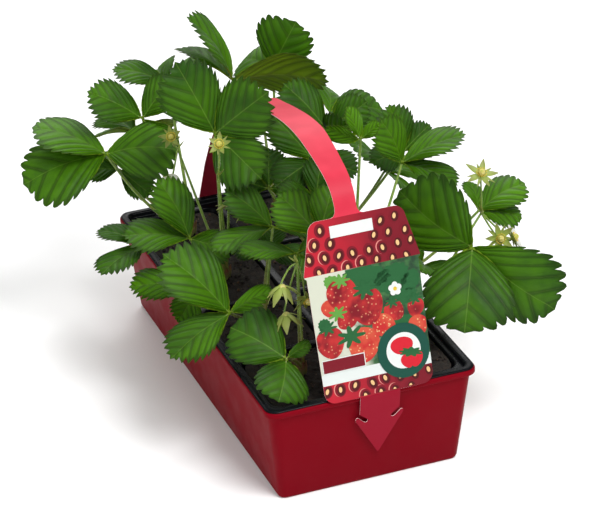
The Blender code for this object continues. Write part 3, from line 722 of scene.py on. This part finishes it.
def make_truss(name):
    cell, fork, heads = TRUSSES[name]
    rng = random.Random(name)
    fork = from_mm(fork)
    sheets = bmesh.new()
    sheets.verts.layers.float.new("along")
    solids = bmesh.new()
    solids.verts.layers.float.new("along")
    path = curve_points(stem_points(stem_start(name, cell), fork, 0.0, 3), 5)
    radii = tapering(1.25, 0.95, path)
    add_tube(solids, path, radii, STEM_M)
    add_hairs(solids, path, radii, 180, 1.2 * MM, HAIR_M, rng)
    for x, y, z, direction, kind in heads:
        place = from_mm((x, y, z))
        axis = Vector(direction).normalized()
        back = place - axis * 1.6 * MM
        lift = Vector((0, 0, 5 * MM)) if axis.z < 0 else Vector((0, 0, -2 * MM))
        middle = (fork + back) / 2 + lift
        start = fork - Vector((0, 0, 0.5 * MM))
        pedicel = curve_points([start, middle, back - axis * 3 * MM, back], 6)
        thin = tapering(0.85, 0.65, pedicel)
        add_tube(solids, pedicel, thin, STEM_M, 7)
        add_hairs(solids, pedicel, thin, 90, 1.1 * MM, HAIR_M, rng)
        add_head(sheets, solids, place, direction, kind, rng)
    for i in range(2):
        way = Vector((rng.uniform(-1, 1), rng.uniform(-1, 0.2), 0.5)).normalized()
        add_sepal(sheets, fork, way, Vector((0, 0, 1)), 9 * MM, 3.4 * MM, 0.5, 0.3, 0.0, GREEN)
    truss = thickened(sheets, 0.3 * MM)
    solid_mesh = mesh_of("solids", solids)
    truss.from_mesh(solid_mesh)
    bpy.data.meshes.remove(solid_mesh)
    finish_piece(name, truss, FLOWER_SURFACES, "flower_stem", name, smooth=55)


for truss_name in TRUSSES:
    make_truss(truss_name)


# Soil and crowns

def soil_surface():
    made = Surface("moist peat", roughness=0.95)
    clump = made.noise(180, 5, rough=0.7)
    dark = made.mix(made.band(clump, 0.3, 0.75), (0.006, 0.004, 0.003), (0.03, 0.019, 0.012))
    fibre = made.noise(520, 3, made.stretch((1, 0.25, 1)))
    made.colour(made.mix(made.band(fibre, 0.68, 0.74), dark, (0.13, 0.075, 0.035)))
    made.bump(made.noise(700, 5, rough=0.75), 0.0016)
    return made.material


SOIL = soil_surface()
BARK = Surface("bark bit", (0.07, 0.035, 0.016), 0.9).material
SQUARENESS = 6.2
LUMPS = 230
LUMP_SIZES = (0.5, 0.7, 0.9, 1.2, 1.8)


def square_edge(angle):
    """A point on a square with rounded corners and half size 1, this way from its middle."""
    x, y = cos(angle), sin(angle)
    return Vector((x, y)) / (abs(x) ** SQUARENESS + abs(y) ** SQUARENESS) ** (1 / SQUARENESS)


def make_soil(cell):
    """The cell's soil: a rough top that sinks towards the wall, with loose lumps on it."""
    name = "soil_%d" % cell
    middle, half, top = box_of(name)
    rng = random.Random(name)
    bm = bmesh.new()
    rings = []
    around, steps = 84, 30
    edges = [square_edge(2 * pi * j / around) for j in range(around)]

    def at(edge, reach, z):
        return Vector((middle.x + edge.x * half.x * reach, middle.y + edge.y * half.y * reach, z))

    for i in range(1, steps + 1):
        sink = 1.0 - 0.6 * (i / steps) ** 6
        ring = []
        for edge in edges:
            point = at(edge, i / steps * 0.995, cell * 0.31)
            rough = 2.4 * noise.noise(point * 55) + 1.5 * noise.noise(point * 170)
            rough += 0.8 * noise.noise(point * 480)
            point.z = top + (rough * sink - 1.6 * (1 - sink) - 0.6) * MM
            ring.append(bm.verts.new(point))
        rings.append(ring)
    for share in (0.5, 1.0):
        z = top - 2 * half.z * share - 2 * MM * (1 - share)
        rings.append([bm.verts.new(at(edge, (1 - 0.24 * share) * 0.99, z)) for edge in edges])
    peak = bm.verts.new((middle.x, middle.y, top))
    for j in range(around):
        bm.faces.new((rings[0][j], rings[0][(j + 1) % around], peak))
    loft(bm, rings[::-1])
    bm.faces.new(rings[-1][::-1])
    for _ in range(LUMPS):
        edge = square_edge(rng.uniform(0, 2 * pi)) * sqrt(rng.uniform(0, 0.86))
        size = rng.choice(LUMP_SIZES)
        place = at(edge, 1.0, top + rng.uniform(-1.2, 0.9) * MM)
        angle = rng.uniform(0, 6.3)
        axis = Vector([rng.uniform(-1, 1) for _ in range(3)]).normalized()
        sizes = (size, size * rng.uniform(0.4, 0.9), size * rng.uniform(0.4, 0.8))
        material = 1 if rng.random() < 0.16 else 0
        add_ball(bm, place, sizes, material, Matrix.Rotation(angle, 4, axis))
    finish_piece(name + "_surface", bm, [SOIL, BARK], "soil", name, smooth=80)


SCALE = petal_surface("crown scale", (0.2, 0.23, 0.06), (0.2, 0.09, 0.04), 0.7, 0.1,
                      (0.3, 0.2, 0.1))
CROWN_SCALES = 13


def make_crown(cell):
    """The short stem in a cell: a core wrapped in scales."""
    name = "crown_%d" % cell
    middle, half, _ = box_of(name)
    rng = random.Random(name)
    sheets = bmesh.new()
    sheets.verts.layers.float.new("along")
    for i in range(CROWN_SCALES):
        out = Vector((cos(2.4 * i), sin(2.4 * i), 0))
        level = i / CROWN_SCALES
        foot = middle + out * (5.0 - 2.4 * level) * MM
        foot.z += 6 * level * MM - half.z
        add_sepal(sheets, foot, (out * 0.28 + Vector((0, 0, 1))).normalized(), -out,
                  rng.uniform(9, 13) * MM, 6.5 * MM, 0.35, 0.5, 0.0, 0)
    crown = thickened(sheets, 0.4 * MM)
    add_ball(crown, middle, (5.0, 5.0, 5.6), 0, None, 3)
    finish_piece(name + "_scales", crown, [SCALE, SCALE], "crown", name, smooth=60)


for cell_number in range(1, 9):
    make_soil(cell_number)
    make_crown(cell_number)


# Tray and insert

TRAY_HALF = (90.0, 188.0)
TRAY_CORNER = 10.0
CELL_PITCH = (83.0, 88.0)
CELL_HALF = (38.9, 41.9)
CELL_CORNER = 10.0
INSERT_SHEET = 0.6


def plastic_surface(name, colour, roughness, specular, grain):
    made = Surface(name, colour, roughness, Specular_IOR_Level=specular)
    wear = made.noise(45, 4)
    made.roughness(made.band(wear, 0.3, 0.7, roughness - 0.05, roughness + 0.08))
    made.bump(made.math("ADD", made.noise(24, 2), made.math("MULTIPLY", made.noise(900, 2), grain)),
              0.0005, 0.08)
    return made.material


RED_PLASTIC = plastic_surface("red moulded plastic", (0.18, 0.0003, 0.006), 0.48, 0.04, 0.03)
BLACK_PLASTIC = plastic_surface("black formed sheet", (0.002, 0.0025, 0.004), 0.26, 0.08, 0.02)


def rounded_ring(bm, half_x, half_y, radius, z, centre=(0.0, 0.0), steps=7):
    """A rounded rectangle of vertices at height z, anticlockwise from above; sizes in mm."""
    ring = []
    for quarter, (sign_x, sign_y) in enumerate(((1, 1), (-1, 1), (-1, -1), (1, -1))):
        for step in range(steps + 1):
            angle = pi / 2 * (quarter + step / steps)
            x = centre[0] + sign_x * (half_x - radius) + radius * cos(angle)
            y = centre[1] + sign_y * (half_y - radius) + radius * sin(angle)
            ring.append(bm.verts.new(from_mm((x, y, z))))
    return ring


def make_tray():
    """Profile (inset, height) from the foot up the wall, over the rim and down the inside."""
    profile = ((15.0, 0.0), (12.8, 0.5), (12.0, 2.4), (3.4, 80.6), (3.1, 81.8), (2.4, 82.1),
               (0.4, 82.2), (0.0, 82.7), (0.0, 85.9), (0.3, 86.7), (1.0, 87.0), (3.7, 87.0),
               (4.4, 86.7), (4.8, 85.6), (13.2, 3.4), (15.6, 1.5))
    bm = bmesh.new()
    rings = [rounded_ring(bm, TRAY_HALF[0] - inset, TRAY_HALF[1] - inset,
                          TRAY_CORNER - inset * 0.3, z) for inset, z in profile]
    bm.faces.new(rings[0][::-1])
    loft(bm, rings)
    bm.faces.new(rings[-1])
    finish_piece("tray_shell", bm, [RED_PLASTIC], "red_plastic", "carrier_tray", smooth=50)


def cell_middle(cell):
    return ((cell - 1) % 2 - 0.5) * CELL_PITCH[0], ((cell - 1) // 2 - 1.5) * CELL_PITCH[1]


def make_insert():
    """The formed sheet: rolled edge, step down to the webs, and eight tapered cells."""
    profile = ((1.2, 86.9), (0.9, 87.5), (1.2, 88.1), (2.2, 88.4), (5.6, 88.3), (6.6, 87.9),
               (7.2, 87.0), (7.6, 85.0), (8.0, 84.3), (8.8, 84.0))
    bm = bmesh.new()
    rings = [rounded_ring(bm, TRAY_HALF[0] - inset, TRAY_HALF[1] - inset,
                          max(TRAY_CORNER - inset * 0.55, 3.0), z) for inset, z in profile]
    loft(bm, rings)

    def edges_of(ring):
        return [bm.edges.get((ring[i - 1], ring[i])) or bm.edges.new((ring[i - 1], ring[i]))
                for i in range(len(ring))]

    web = edges_of(rings[-1])
    walls = ((0.0, 84.0), (0.8, 83.7), (1.2, 82.8), (9.0, 6.0), (10.5, 2.9))
    for cell in range(1, 9):
        rings = [rounded_ring(bm, CELL_HALF[0] - inset, CELL_HALF[1] - inset * 1.25,
                              CELL_CORNER - inset * 0.2, z, cell_middle(cell))
                 for inset, z in walls]
        loft(bm, rings)
        bm.faces.new(rings[-1])
        web += edges_of(rings[0])
    bmesh.ops.triangle_fill(bm, edges=web, use_beauty=True)
    face_up(bm)
    insert = thickened(bm, INSERT_SHEET * MM, 0)
    finish_piece("insert_sheet", insert, [BLACK_PLASTIC], "black_plastic", "cell_tray", smooth=50)


make_tray()
make_insert()

# Carrying strip and label. The route and the outline repeat the CAD source, in mm.

LABEL_X = 4
STRIP_X = -3
FOOT = (-189.6, 86.5)  # (y, z) where the label's front face begins, in front of the rim
TOP = (-144, 224)
NEAR_TAB = [(-182, 29), (-188.9, 80), FOOT]
ARCH = [TOP, (-137, 239), (-125, 248.5), (-110, 254), (-90, 259.5), (-67, 263), (-40, 261.5),
        (-9, 256), (15, 250.5), (40, 244), (81, 224), (115, 198), (145, 165), (168, 130)]
ARCH_STEPS = 5
FAR_TAB = [(-y, z) for y, z in reversed(NEAR_TAB)]
SHEET = 0.6
LABEL_HEIGHT = hypot(TOP[0] - FOOT[0], TOP[1] - FOOT[1])
PRINT_UP = Vector((0, (TOP[0] - FOOT[0]) / LABEL_HEIGHT, (TOP[1] - FOOT[1]) / LABEL_HEIGHT))
PRINT_OUT = Vector((0, -PRINT_UP.z, PRINT_UP.y))
BAND_TOP = 15
WHITE_TOP = 24
PICTURE_TOP = LABEL_HEIGHT - 42


def label_point(u, v, out=0.0):
    """A point on the label's face: u mm right of its middle, v mm up from its foot."""
    return (Vector((LABEL_X, FOOT[0], FOOT[1])) * MM + Vector((u * MM, 0, 0))
            + PRINT_UP * v * MM + PRINT_OUT * out * MM)


def print_plane(made):
    """Texture coordinates in the label's own plane, and the one across it."""
    x = made.node("ShaderNodeSeparateXYZ", {0: made.place}).outputs[0]
    up = made.node("ShaderNodeVectorMath", {0: made.place, 1: tuple(PRINT_UP)},
                   operation="DOT_PRODUCT").outputs["Value"]
    return made.node("ShaderNodeCombineXYZ", {0: x, 1: up}).outputs[0], x


def skin_surface():
    """Red of the skin print, bright on the left and deep on the right."""
    made = Surface("skin print", roughness=0.42, Specular_IOR_Level=0.3)
    plane, x = print_plane(made)
    side = made.band(made.math("ADD", x, made.math("MULTIPLY", made.noise(40, 2, plane), 0.03)),
                     -0.03, 0.055)
    made.colour(made.mix(side, (0.42, 0.008, 0.022), (0.15, 0.002, 0.01)))
    return made.material


def picture_surface():
    """Out-of-focus backdrop: cream on the left, green foliage towards the upper right."""
    made = Surface("picture print", roughness=0.38)
    plane, x = print_plane(made)
    blur = made.noise(60, 3, plane)
    place = made.math("ADD", x, made.math("MULTIPLY", made.math("SUBTRACT", blur, 0.5), 0.09))
    green = made.mix(made.band(made.noise(140, 3, plane), 0.35, 0.65), (0.006, 0.035, 0.012),
                     (0.03, 0.12, 0.03))
    made.colour(made.mix(made.band(place, -0.018, 0.01), (0.5, 0.52, 0.42), green))
    return made.material


def strip_surface():
    made = Surface("red strip", roughness=0.5, Specular_IOR_Level=0.2)
    fade = made.noise(30, 2)
    made.colour(made.mix(made.band(fade, 0.35, 0.65), (0.5, 0.02, 0.045), (0.58, 0.03, 0.06)))
    made.bump(made.noise(900, 2), 0.00008)
    return made.material


STRIP_SURFACES = [strip_surface(), skin_surface(), picture_surface(),
                  Surface("white print", (0.58, 0.62, 0.6), 0.4).material,
                  # Darker red of the tabs. On the neck under the label's foot, this darker red is
                  # painted shade.
                  Surface("strip tab and painted neck shade", (0.26, 0.002, 0.016), 0.55,
                          Specular_IOR_Level=0.12).material,
                  Surface("strip back", (0.3, 0.01, 0.03), 0.5).material,
                  Surface("cut edge", (0.8, 0.5, 0.5), 0.6).material]
STRIP, SKIN, PICTURE, BLANK, TAB_AND_NECK_SHADE, BACK, CUT = range(7)
# One side of an arrow tab, (across, along) from its tip up to its neck.
ARROW = ((0.6, 0), (19.8, 34), (20.5, 36.2), (19.7, 37.8), (18.2, 38), (13.4, 33), (11.6, 32.2),
         (10.2, 33), (10.0, 34.8), (17, 41))
ARROW_ZONE = 46


def arc(x, s, radius, first, last, steps=8):
    turns = [radians(first + (last - first) * i / steps) for i in range(steps + 1)]
    return [(x + radius * cos(turn), s + radius * sin(turn)) for turn in turns]


def strip_side(sign, foot, top, apex, total):
    """One side of the punched outline, from the near arrow's tip to the far one's."""

    def beside(centre, *places):
        return [(centre + sign * across, along) for across, along in places]

    side = beside(LABEL_X, *ARROW, (17, foot))
    side += arc(LABEL_X + sign * 37, foot + 9, 9, 270, 270 + 90 * sign)
    side += beside(LABEL_X, (47, top - 44), (48.5, top - 43), (49, top - 41))
    side += arc(LABEL_X + sign * 32, top - 9, 9, 90 - 85 * sign, 90)
    side += beside(STRIP_X, (13.5, top), (11, top + 1), (9.5, top + 3.5), (9, top + 7),
                   (12, apex), (9, total - 54), (17, total - 48))
    return side + beside(STRIP_X, *((across, total - along) for across, along in ARROW[::-1]))


def lengths_along(route):
    lengths = [0.0]
    for (y0, z0), (y1, z1) in zip(route, route[1:]):
        lengths.append(lengths[-1] + hypot(y1 - y0, z1 - z0))
    return lengths


def on_route(s, route, lengths):
    for i in range(len(lengths) - 1):
        if s <= lengths[i + 1] or i == len(lengths) - 2:
            share = (s - lengths[i]) / (lengths[i + 1] - lengths[i])
            (y0, z0), (y1, z1) = route[i], route[i + 1]
            return y0 + (y1 - y0) * share, z0 + (z1 - z0) * share


def make_strip():
    """The flat outline, cut where it bends or changes colour, then laid along its route."""
    near, arch, far = (curve_points([Vector(place) for place in line], steps)
                       for line, steps in ((NEAR_TAB, 3), (ARCH, ARCH_STEPS), (FAR_TAB, 3)))
    route = near + arch + far
    lengths = lengths_along(route)
    foot = lengths[len(near) - 1]
    top = lengths[len(near)]
    apex = lengths[len(near) + 5 * ARCH_STEPS]
    total = lengths[-1]
    line = strip_side(1, foot, top, apex, total)
    line += reversed(strip_side(-1, foot, top, apex, total))
    bm = bmesh.new()
    corners = [bm.verts.new((x, s, 0.0)) for x, s in line]
    for triangle in tessellate_polygon([[vert.co for vert in corners]]):
        bm.faces.new([corners[i] for i in triangle])
    face_up(bm)
    for s in lengths[1:-1] + [foot + BAND_TOP, foot + WHITE_TOP, foot + PICTURE_TOP]:
        bmesh.ops.bisect_plane(bm, geom=bm.verts[:] + bm.edges[:] + bm.faces[:], dist=0.001,
                               plane_co=(0, s, 0), plane_no=(0, 1, 0))
    for face in bm.faces:
        s = face.calc_center_median().y - foot
        face.material_index = STRIP
        # Below the label's foot and on the far tab the strip is darker red. Where it covers the
        # neck, this is painted shade.
        if s < 0 or s > total - foot - ARROW_ZONE:
            face.material_index = TAB_AND_NECK_SHADE
        elif s < BAND_TOP or PICTURE_TOP < s < LABEL_HEIGHT:
            face.material_index = SKIN
        elif s < WHITE_TOP:
            face.material_index = BLANK
        elif s < PICTURE_TOP:
            face.material_index = PICTURE
    for vert in bm.verts:
        vert.co = Vector((vert.co.x, *on_route(vert.co.y, route, lengths))) * MM
    front = len(bm.faces)
    solid = thickened(bm, SHEET * MM, 0, 0)
    for index, face in enumerate(solid.faces):
        if index >= 2 * front:
            face.material_index = CUT
        elif index >= front:
            face.material_index = BACK
    finish_piece("carrying_strip", solid, STRIP_SURFACES, "printed_strip", "carry_handle",
                 smooth=35)


make_strip()


# Printed picture: flat shapes laid just above the label's face, in mm from its foot's middle.

def berry_surface(name, light, dark, seed):
    made = Surface(name, roughness=0.42, Specular_IOR_Level=0.3)
    plane, _ = print_plane(made)
    red = made.mix(made.band(made.noise(75, 2, plane), 0.35, 0.65), light, dark)
    made.colour(made.mix(made.band(made.cells(330, vector=plane), 0.12, 0.3, 0.8, 0.0), red, seed))
    return made.material


def ink(name, colour):
    return Surface(name, colour, 0.42, Specular_IOR_Level=0.3).material


INKS = {
    "berry": berry_surface("berry print", (0.42, 0.02, 0.02), (0.16, 0.002, 0.008),
                           (0.6, 0.26, 0.14)),
    "unripe": berry_surface("unripe berry print", (0.5, 0.07, 0.035), (0.42, 0.015, 0.015),
                            (0.65, 0.42, 0.2)),
    "deep": ink("deep red print", (0.06, 0.001, 0.003)),
    "tag": ink("tag red print", (0.15, 0.001, 0.009)),
    "shine": ink("pale red print", (0.6, 0.2, 0.17)),
    "seed": ink("seed print", (0.66, 0.42, 0.19)),
    "leaf": ink("leaf print", (0.012, 0.09, 0.025)),
    "fresh": ink("fresh green print", (0.09, 0.26, 0.04)),
    "dark": ink("dark green print", (0.002, 0.055, 0.035)),
    "white": ink("pale print", (0.62, 0.64, 0.62)),
    "yellow": ink("yellow print", (0.6, 0.42, 0.03)),
    "red": ink("flat red print", (0.5, 0.008, 0.02)),
}
INK_ORDER = list(INKS)
PRINT_STEP = 0.04


def round_shape(u, v, half_u, half_v, turn=0.0, taper=0.0, teeth=0, jag=0.0, count=40):
    """A closed line round (u, v): an oval, narrowed towards its foot or with a jagged edge."""
    points = []
    a = radians(turn)
    for i in range(count):
        angle = 2 * pi * i / count
        reach = 1 + (jag * cos(teeth * angle) if teeth else 0.0)
        x = half_u * sin(angle) * (1 + taper * cos(angle)) * reach
        y = half_v * cos(angle) * reach
        points.append((u + x * cos(a) - y * sin(a), v + x * sin(a) + y * cos(a)))
    return points


def kept_on_label(point, low, high):
    """The point moved inside the label's edges and between two heights."""
    u, v = point
    v = min(max(v, low), high)
    half = 45.6 + 0.01 * v if v < PICTURE_TOP else 48.5 - 0.2 * (v - PICTURE_TOP)
    return min(max(u, -half), half), v


def add_print(bm, points, level, colour, low=0.5, high=140.0):
    """Lays one printed shape on the label; higher levels cover lower ones."""
    places = [kept_on_label(point, low, high) for point in points]
    face = bm.faces.new([bm.verts.new(label_point(u, v, SHEET / 2 + PRINT_STEP * level))
                         for u, v in places])
    face.normal_update()
    if face.normal.dot(PRINT_OUT) < 0:
        face.normal_flip()
    face.material_index = INK_ORDER.index(colour)


# Berries: middle, size, turn and colour. Leaves: middle, half sizes, turn, colour. Calyxes:
# middle, size, colour. Panels: level, colour, left, foot, right, top. Rounds: level, colour,
# then what round_shape takes.
BERRIES = ((-32, 75, 6.5, 20, "unripe"), (-20, 83.5, 12.5, 10, "berry"),
           (39, 62, 7, -20, "berry"), (21, 63, 8, 40, "berry"), (-19, 64, 8, -50, "berry"),
           (11, 53, 9, 60, "unripe"), (39, 47, 8, 0, "unripe"), (-1.5, 71, 14, 4, "berry"),
           (-35, 48, 11.5, 8, "berry"), (-8, 41, 13, -12, "unripe"))
PRINT_LEAVES = ((2, 94, 19, 9, -12, "leaf"), (23, 88, 15, 11, 20, "leaf"),
                (38, 84, 9, 7, 40, "leaf"), (-26, 94, 8, 6, -20, "fresh"),
                (30, 72, 12, 6, 10, "leaf"), (-38, 62, 5, 6, 0, "leaf"),
                (28, 52, 9, 6, 0, "leaf"))
CALYXES = ((-1, 84.5, 8, "leaf"), (-20, 95, 6, "fresh"), (-17.5, 50, 9, "leaf"),
           (-26, 70, 6, "fresh"), (20, 70, 5, "leaf"), (39, 69, 5, "leaf"),
           (-36, 60, 6, "leaf"))
FLOWER = (24, 80)
NAME_PANEL = (-23, 129.5, 13, 139)
PANELS = ((9, "white", -44.5, 24.2, -8.6, 35.4), (10, "tag", -44, 24.9, -9.3, 34.7),
          (6, "white", *NAME_PANEL))
ROUNDS = ((10, "yellow", *FLOWER, 1.6, 1.6), (11, "dark", 24, 30, 22, 22),
          (12, "white", 24, 30, 14.5, 14.5), (13, "red", 23, 34, 9.5, 7, 0, 0.1),
          (14, "red", 26, 21, 5, 6, 20, 0.2), (15, "red", 33, 22, 6, 7, -10, 0.2),
          (16, "leaf", 30, 27.5, 9, 3.4, -10, 0.0, 9, 0.2, 72))
# A dimple from its rim inwards: level, colour, offset, half sizes. Every ring but the rim's
# pale crescent is there on each dimple.
CRESCENT = (1, "shine", -0.8, 0.3, 4.8, 5.7)
DIMPLE = ((2, "tag", 0, 0, 4.7, 5.6), (3, "deep", 0.5, -0.4, 3.2, 4.2),
          (4, "seed", 0, 0, 1.4, 2.3))
SEED_PITCH = (12.5, 10.5)


def print_seeds(bm, low, high, first_row):
    """Rows of dimples, each with a seed, that keep off the corners and the name panel."""
    rng = random.Random("seeds %d" % first_row)
    left, foot, right, _ = NAME_PANEL
    row = first_row
    while row * SEED_PITCH[1] < high + 4:
        for column in range(-5, 6):
            u = (column + 0.5 * (row % 2)) * SEED_PITCH[0] + rng.uniform(-1.4, 1.4)
            v = row * SEED_PITCH[1] + rng.uniform(-1.2, 1.2)
            corner = (v > 128 and abs(u) > 33) or (v < 9 and abs(u) > 36)
            panel = v > foot - 3.5 and left - 6 < u < right + 6
            if low - 2 < v < high + 2 and not corner and not panel and abs(u) < 47:
                turn = rng.uniform(-25, 25)
                lit = rng.random() < 0.35 - u * 0.008
                for level, colour, du, dv, *half in ((CRESCENT, *DIMPLE) if lit else DIMPLE):
                    add_print(bm, round_shape(u + du, v + dv, *half, turn), level, colour,
                              low, high)
        row += 1


def make_print():
    bm = bmesh.new()
    print_seeds(bm, PICTURE_TOP + 0.3, LABEL_HEIGHT - 1.5, 9)
    print_seeds(bm, 1.0, BAND_TOP - 0.3, 0)
    picture = (WHITE_TOP + 0.3, PICTURE_TOP - 0.3)
    for *place, colour in PRINT_LEAVES:
        add_print(bm, round_shape(*place, 0.2, 13, 0.06, 78), 1, colour, *picture)
    for count, (u, v, size, turn, colour) in enumerate(BERRIES):
        add_print(bm, round_shape(u, v, size, size * 1.1, turn, 0.16), 2 + count * 0.5, colour,
                  *picture)
    for u, v, size, colour in CALYXES:
        add_print(bm, round_shape(u, v, size, size * 0.7, 10, 0.0, 7, 0.4, 84), 8, colour,
                  *picture)
    for spin in range(5):
        turn = 72 * spin
        u = FLOWER[0] - 3 * sin(radians(turn))
        v = FLOWER[1] + 3 * cos(radians(turn))
        add_print(bm, round_shape(u, v, 2.5, 2.7, turn), 8 + spin * 0.2, "white")
    for level, colour, left, foot, right, top in PANELS:
        add_print(bm, [(left, foot), (right, foot), (right, top), (left, top)], level, colour)
    for level, colour, *shape in ROUNDS:
        add_print(bm, round_shape(*shape), level, colour)
    finish_piece("label_print", bm, list(INKS.values()), "printed_strip")


make_print()

# Camera, light and floor

# The view: azimuth from -Y towards +X, elevation, roll (degrees), distance and target (mm).
VIEW_AZIMUTH = -20.6
VIEW_ELEVATION = 28.2
VIEW_ROLL = -1.8
VIEW_DISTANCE = 2347
VIEW_TARGET = (11.4, 0.0, 113.6)
VIEW_LENS = 168
VIEW_SENSOR = 36

LIGHTS = (("key", (0.3, -1.1, 1.9), 0.9, 40), ("fill", (-1.5, -0.9, 1.1), 1.4, 7),
          ("back", (0.4, 1.6, 1.5), 1.2, 20))
WORLD_STRENGTH = 0.55
FLOOR_TONE = (0.93, 0.93, 0.93)
FLOOR_GAP = 0.0002


def make_camera():
    back = facing_vector(VIEW_AZIMUTH, VIEW_ELEVATION)
    right = (-back).cross(Vector((0, 0, 1))).normalized()
    up = right.cross(-back)
    roll = radians(VIEW_ROLL)
    turned = right * cos(roll) + up * sin(roll)
    upright = up * cos(roll) - right * sin(roll)
    place = from_mm(VIEW_TARGET) + back * VIEW_DISTANCE * MM
    data = bpy.data.cameras.new("camera")
    data.lens = VIEW_LENS
    data.sensor_width = VIEW_SENSOR
    camera = placed("camera", data)
    camera.matrix_world = Matrix(((turned.x, upright.x, back.x, place.x),
                                  (turned.y, upright.y, back.y, place.y),
                                  (turned.z, upright.z, back.z, place.z), (0, 0, 0, 1)))
    bpy.context.scene.camera = camera


def area_light(name, place, size, watts):
    data = bpy.data.lights.new(name, "AREA")
    data.size = size
    data.energy = watts
    light = placed(name, data)
    light.location = place
    way = Vector((0, 0, 0.1)) - Vector(place)
    light.rotation_euler = way.to_track_quat("-Z", "Y").to_euler()


def make_stage():
    world = bpy.data.worlds.new("studio")
    bpy.context.scene.world = world
    world.use_nodes = True
    background = world.node_tree.nodes["Background"]
    background.inputs["Color"].default_value = (1, 1, 1, 1)
    background.inputs["Strength"].default_value = WORLD_STRENGTH
    bm = bmesh.new()
    bmesh.ops.create_grid(bm, x_segments=1, y_segments=1, size=6)
    floor = placed("floor", mesh_of("floor", bm))
    floor.location.z = -FLOOR_GAP
    floor.data.materials.append(Surface("pale floor", FLOOR_TONE, 0.9).material)
    for light in LIGHTS:
        area_light(*light)
    bpy.context.scene.view_settings.view_transform = "Standard"


make_camera()
make_stage()
